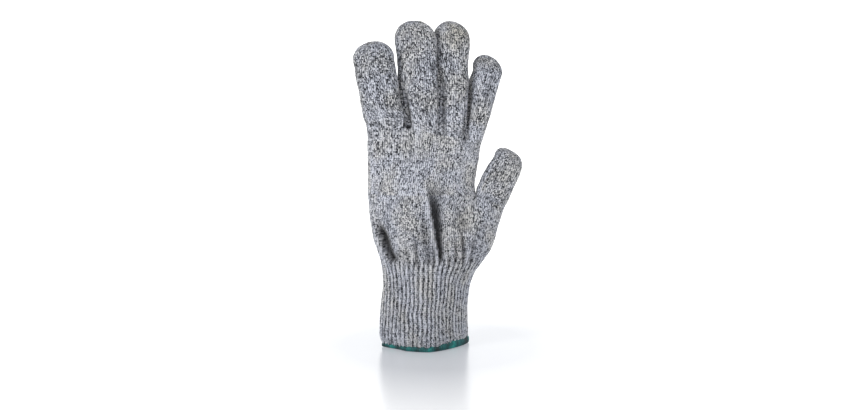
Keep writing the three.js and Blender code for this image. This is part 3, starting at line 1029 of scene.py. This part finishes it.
def hem_band():
    hem_low, hem_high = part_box("hem")
    level = (hem_low.z + hem_high.z) / 2 / MM
    front_line, back_line = outline(ray_tree(["hem"]), lambda x: level, BESIDE_HAND)
    count = HEM_WRAPS * HEM_STEPS_PER_WRAP
    middle_line, out = closed_path(np.concatenate([front_line, back_line[-2:0:-1]]), count)
    wrap = np.arange(count)[:, None] / HEM_STEPS_PER_WRAP
    turn = np.arange(HEM_SIDES)[None, :] / HEM_SIDES * 2 * math.pi
    thread_place = wrap + HEM_SLANT * np.sin(turn / 2)
    thread = np.abs(np.sin(math.pi * thread_place)) ** HEM_ROUND
    loose = HEM_LOOSE * random_of(np.floor(thread_place))
    top = HEM_LOW[0] + (HEM_LOW[1] - HEM_LOW[0]) * smooth_step(middle_line[:, :1], *HEM_RISE)
    top = top + HEM_RAGGED * (random_of(np.floor(thread_place), RAGGED_SEED) - 0.5)
    swell = HEM_THREAD * (thread - 1 - loose)
    across = (HEM_DEPTH + swell) * signed_power(np.cos(turn), HEM_SQUARE) - HEM_DEPTH * HEM_INSET
    up = top / 2 + (top / 2 + swell) * signed_power(np.sin(turn), HEM_SQUARE)
    across = across - rolled(middle_line[:, :1], HEM_LOW[0] / 2)
    points = middle_line[:, None, :] + out[:, None, :] * across[..., None]
    points[..., 2] = np.maximum(up, HEM_LIFT)
    number = np.arange(count * HEM_SIDES).reshape(count, HEM_SIDES)
    ahead = np.roll(number, -1, axis=0)
    quads = np.stack([number, ahead, np.roll(ahead, -1, axis=1), np.roll(number, -1, axis=1)], axis=2)
    mesh = bpy.data.meshes.new("hem_thread")
    mesh.from_pydata((points.reshape(-1, 3) * MM).tolist(), [], quads.reshape(-1, 4).tolist())
    mesh.polygons.foreach_set("use_smooth", np.ones(len(mesh.polygons), bool))
    along, around = np.meshgrid(np.arange(count), np.arange(HEM_SIDES), indexing="ij")
    steps = [(0, 0), (1, 0), (1, 1), (0, 1)]
    corners = [np.stack([(along + x) / count, (around + y) / HEM_SIDES], axis=2) for x, y in steps]
    for layer, wraps in (("weave", HEM_WRAPS), ("OFBake", 1)):
        add_layer(mesh, layer, np.stack(corners, axis=2) * (wraps, 1))
    mesh.uv_layers["weave"].active_render = True
    # painted shade between the hem's threads
    add_values(mesh, "cavity", thread.ravel())
    return linked("hem_thread", mesh)


hem = hem_band()

# ---- materials


class Nodes:
    """Builds one material's nodes. Each call adds a node and returns its output."""

    def __init__(self, name):
        self.material = bpy.data.materials.new(name)
        self.material.use_nodes = True
        self.tree = self.material.node_tree
        self.shader = self.tree.nodes["Principled BSDF"]

    def node(self, kind, inputs=(), output=0, **settings):
        made = self.tree.nodes.new(kind)
        for key, value in settings.items():
            setattr(made, key, value)
        for socket, value in dict(inputs).items():
            self.put(made.inputs[socket], value)
        return made.outputs[output]

    def put(self, socket, value):
        if isinstance(value, bpy.types.NodeSocket):
            self.tree.links.new(value, socket)
        else:
            socket.default_value = value

    def math(self, operation, a, b=0.0, c=0.0):
        return self.node("ShaderNodeMath", {0: a, 1: b, 2: c}, operation=operation)

    def mix(self, share, a, b, blend_type="MIX"):
        mixed = self.tree.nodes.new("ShaderNodeMix")
        mixed.data_type = "RGBA"
        mixed.blend_type = blend_type
        for socket, value in ((mixed.inputs[0], share), (mixed.inputs[6], a), (mixed.inputs[7], b)):
            self.put(socket, value)
        return mixed.outputs[2]

    def multiply(self, a, b):
        return self.mix(1.0, a, b, "MULTIPLY")

    def scaled(self, place, across, up):
        return self.node("ShaderNodeVectorMath", {0: place, 1: (across, up, 1.0)}, operation="MULTIPLY")

    def noise(self, **inputs):
        return self.node("ShaderNodeTexNoise", inputs)

    def bump(self, strength, distance, height):
        return self.node("ShaderNodeBump", {"Strength": strength, "Distance": distance, "Height": height})

    def ramp(self, value, stops):
        made = self.tree.nodes.new("ShaderNodeValToRGB")
        elements = made.color_ramp.elements
        while len(elements) < len(stops):
            elements.new(1.0)
        for element, (position, color) in zip(elements, stops):
            element.position = position
            element.color = color
        self.put(made.inputs[0], value)
        return made.outputs[0]

    def attribute(self, name):
        return self.node("ShaderNodeAttribute", attribute_name=name, output="Fac")

    def surface(self, **inputs):
        for socket, value in inputs.items():
            self.put(self.shader.inputs[socket.replace("_", " ")], value)
        return self.material


def grey(value):
    return (value, value, value, 1.0)


YARN_DARK = (0.022, 0.024, 0.030, 1.0)
YARN_GREY = (0.27, 0.28, 0.31, 1.0)
YARN_PALE = (0.64, 0.65, 0.69, 1.0)
STAIN = (1.0, 0.94, 0.78, 1.0)  # a warm cast where the fingertips have been handled
DEEPEST_GROOVE_SHADE = 0.2  # painted shade: how much light the colour keeps in the deepest grooves between stitches
DEEPEST_FOLD_SHADE = 0.10  # and in the deepest folds, also painted shade
COOL = (0.96, 0.98, 1.03, 1.0)  # the yarn's cast changes a little from place to place
WARM = (1.0, 0.985, 0.94, 1.0)
LEG_SHARE = 0.55  # how much of a strand's choice each leg of a stitch makes; its two halves make the rest
PATCHES = 0.3  # how much the choice changes from patch to patch
TEAL_DARK = (0.002, 0.014, 0.016, 1)
TEAL = (0.004, 0.07, 0.072, 1)
TEAL_BRIGHT = (0.012, 0.21, 0.19, 1)
ELASTIC_DARK = (0.42, 0.42, 0.4, 1)
ELASTIC_PALE = (0.72, 0.72, 0.7, 1)
BUMP = 0.0002  # height of the fibres, in metres


def knit_material(name):
    """Marl yarn: each leg of a stitch shows most of one of its dark, grey and pale strands."""
    nodes = Nodes(name)
    place = nodes.node("ShaderNodeUVMap", uv_map="weave")

    def cloud(wales, courses, detail):
        stretched = nodes.scaled(place, wales, courses)
        return nodes.noise(Vector=stretched, Scale=1.0, Detail=detail, Roughness=0.6)

    def picked(wales, courses):
        stretched = nodes.scaled(place, wales, courses)
        cell = nodes.node("ShaderNodeVectorMath", {0: stretched}, operation="FLOOR")
        return nodes.node("ShaderNodeTexWhiteNoise", {"Vector": cell}, noise_dimensions="2D")

    patch = cloud(0.09, 0.06, 3.0)
    fibres = cloud(9.0, 26.0, 3.0)
    half_leg = nodes.math("MULTIPLY", picked(2.0, 2.0), 1 - LEG_SHARE)
    strand = nodes.math("MULTIPLY_ADD", picked(2.0, 1.0), LEG_SHARE, half_leg)
    strand = nodes.math("MULTIPLY_ADD", patch, PATCHES, nodes.math("SUBTRACT", strand, PATCHES / 2))
    # pale holds painted highlights on fold and rib crests and painted shade in the rib grooves
    strand = nodes.math("ADD", nodes.attribute("pale"), strand)
    yarn = nodes.ramp(strand, [(0.24, YARN_DARK), (0.34, YARN_GREY), (0.5, YARN_GREY), (0.66, YARN_PALE)])
    shade = nodes.ramp(fibres, [(0.3, grey(0.75)), (0.7, grey(1.0))])
    # painted shade in the grooves between stitches, and on the lining
    groove_shading = nodes.ramp(nodes.attribute("cavity"), [(0.0, grey(DEEPEST_GROOVE_SHADE)), (0.7, grey(1.0))])
    # painted shade in the folds
    fold_shading = nodes.ramp(nodes.attribute("crease"), [(0.0, grey(1.0)), (1.0, grey(DEEPEST_FOLD_SHADE))])
    warm = nodes.mix(nodes.attribute("stain"), grey(1.0), STAIN)
    colour = nodes.multiply(nodes.multiply(yarn, shade), nodes.multiply(groove_shading, warm))
    cast = nodes.ramp(cloud(0.07, 0.05, 2.0), [(0.42, COOL), (0.62, WARM)])
    colour = nodes.multiply(nodes.multiply(colour, fold_shading), cast)
    return nodes.surface(
        Base_Color=colour,
        Roughness=nodes.math("MULTIPLY_ADD", fibres, 0.2, 0.72),
        Normal=nodes.bump(0.35, BUMP, fibres),
        Specular_IOR_Level=0.3,
        Sheen_Weight=0.15,
        Sheen_Roughness=0.5,
    )


def hem_material():
    nodes = Nodes("teal_overlock_thread")
    place = nodes.node("ShaderNodeUVMap", uv_map="weave")
    fibres = nodes.noise(Vector=nodes.scaled(place, 1.3, 14.0), Scale=2.0, Detail=4.0, Roughness=0.65)
    mottle = nodes.noise(Vector=place, Scale=0.22, Detail=3.0)
    tone = nodes.math("MULTIPLY_ADD", mottle, 1.5, nodes.math("MULTIPLY_ADD", fibres, 0.7, -0.62))
    thread = nodes.ramp(tone, [(0.3, TEAL_DARK), (0.5, TEAL), (0.75, TEAL_BRIGHT)])
    # painted shade between the threads
    groove_shading = nodes.ramp(nodes.attribute("cavity"), [(0.0, grey(0.12)), (0.8, grey(1.0))])
    return nodes.surface(
        Base_Color=nodes.multiply(thread, groove_shading),
        Roughness=nodes.math("MULTIPLY_ADD", fibres, 0.3, 0.45),
        Normal=nodes.bump(0.4, BUMP, fibres),
        Specular_IOR_Level=0.3,
    )


def elastic_material():
    nodes = Nodes("covered_elastic")
    place = nodes.node("ShaderNodeTexCoord", output="Object")
    lay = {"Vector": place, "Scale": 900.0, "Distortion": 3.0, "Detail": 2.0}
    wraps = nodes.node("ShaderNodeTexWave", lay)
    return nodes.surface(
        Base_Color=nodes.ramp(wraps, [(0.2, ELASTIC_DARK), (0.8, ELASTIC_PALE)]),
        Roughness=nodes.math("MULTIPLY_ADD", wraps, 0.15, 0.6),
        Normal=nodes.bump(0.4, BUMP / 2, wraps),
    )


marl = knit_material("grey_marl_knit")
ribs = knit_material("grey_marl_rib")
for name, piece in fabric.items():
    piece.data.materials.append(ribs if name == "cuff_knit" else marl)
hem.data.materials.append(hem_material())
elastic = frame["nodes"]["cuff_elastic"]
elastic.data.materials.clear()
elastic.data.materials.append(elastic_material())

# ---- what moves with what

# (joint, segment above it, how far to each side of the joint the start and end points lie)
FINGER_BENDS = [("base", "proximal", 7.5), ("middle", "middle", 7.0), ("tip", "tip", 6.0)]
THUMB_BENDS = [("base", "proximal", 6.5), ("tip", "tip", 6.0)]
WRIST_BEND = 10.5
ROOT_CLEAR = 0.3  # a finger's start point stays so far above its lowest row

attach(fabric["cuff_knit"], "cuff")
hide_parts("cuff")
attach(hem, "cuff")
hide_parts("hem")
for name, node in (("lower_palm_knit", "lower_palm"), ("upper_palm_knit", "upper_palm")):
    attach(fabric[name], "palm")
    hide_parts(node)


def bend_fabric(piece, joint, nodes, below, above):
    """Bakes the piece's transform, finds the points so far below and above the joint along the limb, and
    hides the CAD nodes the piece replaces; the piece is not bent.
    """
    pivot = Vector(joint["pos_m"])
    up = Vector(joint["axis"]).cross(Vector((0, 1, 0)))
    start, end = pivot - up * MM * below, pivot + up * MM * above
    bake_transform(piece)
    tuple(start)
    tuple(end)
    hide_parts(*nodes)


bend_fabric(fabric["wrist_knit"], joints["wrist"], ["wrist_bend"], WRIST_BEND, WRIST_BEND)
for name in [*FINGERS, "thumb"]:
    for part, segment, reach in THUMB_BENDS if name == "thumb" else FINGER_BENDS:
        joint = joints[f"{name}_{part}"]
        below = reach
        if part == "base" and name in roots:
            below = min(reach, joint["pos_m"][2] / MM - roots[name] - ROOT_CLEAR)
        replaced = [f"{name}_{part}_bend", f"{name}_{segment}"]
        bend_fabric(fabric[f"{name}_{part}_knit"], joint, replaced, below, reach)

# ---- floor, light and camera

CAMERA_TARGET = Vector((-0.0059, 0, 0.1054))
CAMERA_DISTANCE = 1.05
CAMERA_ELEVATION = math.radians(8.5)
CAMERA_LENS = 59.7
FLOOR_GLOW = (0.275, 0.29, 0.32, 1.0)  # the floor is lit so much under the glove, and white further out
LIGHTS = [  # (name, place, size, power)
    ("key", (-1.4, -0.9, 0.9), 0.6, 19),
    ("fill", (0.3, -1.7, 0.3), 1.0, 9),
    ("rim", (1.5, -0.3, 0.7), 0.8, 6),
    ("top", (0.2, 0.6, 1.8), 1.4, 5),
]
LIGHT_TARGET = Vector((0, 0, 0.12))
STUDIO_LIGHT = 0.42  # how bright the world is as a light, and where it is seen
BACKDROP = 1.7
FLOOR_Z = -0.0002  # just below the glove
FLOOR_REACH = 80.0  # the floor's far edge is out of the camera's view


def floor():
    mesh = bpy.data.meshes.new("floor")
    corners = [(x * FLOOR_REACH, y * FLOOR_REACH, FLOOR_Z) for x, y in ((-1, -1), (1, -1), (1, 1), (-1, 1))]
    mesh.from_pydata(corners, [], [[0, 1, 2, 3]])
    nodes = Nodes("white_floor")
    haze = nodes.noise(Scale=3.0, Detail=2.0)
    place = nodes.node("ShaderNodeNewGeometry", output="Position")
    away = nodes.node("ShaderNodeVectorMath", {0: place}, output="Value", operation="LENGTH")
    nodes.surface(
        Base_Color=nodes.ramp(haze, [(0.3, grey(0.35)), (0.7, grey(0.37))]),
        Roughness=0.24,
        Specular_IOR_Level=0.8,
        Emission_Color=nodes.ramp(away, [(0.07, FLOOR_GLOW), (0.32, grey(1.0))]),
        Emission_Strength=1.0,
    )
    mesh.materials.append(nodes.material)
    linked("floor", mesh)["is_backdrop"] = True


def soft_light(name, place, size, power):
    light = bpy.data.lights.new(name, "AREA")
    light.shape = "DISK"
    light.size = size
    light.energy = power
    obj = linked(name, light)
    obj.location = place
    obj.rotation_euler = (LIGHT_TARGET - obj.location).to_track_quat("-Z", "Y").to_euler()


def studio_world(light, backdrop):
    """A white studio: dimmer as a light than where it is seen or mirrored in the floor."""
    world = bpy.data.worlds.new("studio")
    world.use_nodes = True
    tree = world.node_tree
    background = tree.nodes["Background"]
    background.inputs["Color"].default_value = grey(1.0)
    path = tree.nodes.new("ShaderNodeLightPath")
    strength = tree.nodes.new("ShaderNodeMapRange")
    strength.inputs["To Min"].default_value = backdrop
    strength.inputs["To Max"].default_value = light
    tree.links.new(path.outputs["Is Diffuse Ray"], strength.inputs["Value"])
    tree.links.new(strength.outputs["Result"], background.inputs["Strength"])
    bpy.context.scene.world = world


floor()
for light in LIGHTS:
    soft_light(*light)
studio_world(STUDIO_LIGHT, BACKDROP)
bpy.context.scene.view_settings.view_transform = "Standard"

camera = linked("camera", bpy.data.cameras.new("camera"))
camera.data.lens = CAMERA_LENS
back = Vector((0, -math.cos(CAMERA_ELEVATION), math.sin(CAMERA_ELEVATION)))
camera.location = CAMERA_TARGET + back * CAMERA_DISTANCE
camera.rotation_euler = (-back).to_track_quat("-Z", "Y").to_euler()
bpy.context.scene.camera = camera

shown_low, shown_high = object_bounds()
boxes = {"cad": [cad_low, cad_high], "visual": [shown_low, shown_high]}
{name: [list(corner) for corner in box] for name, box in boxes.items()}
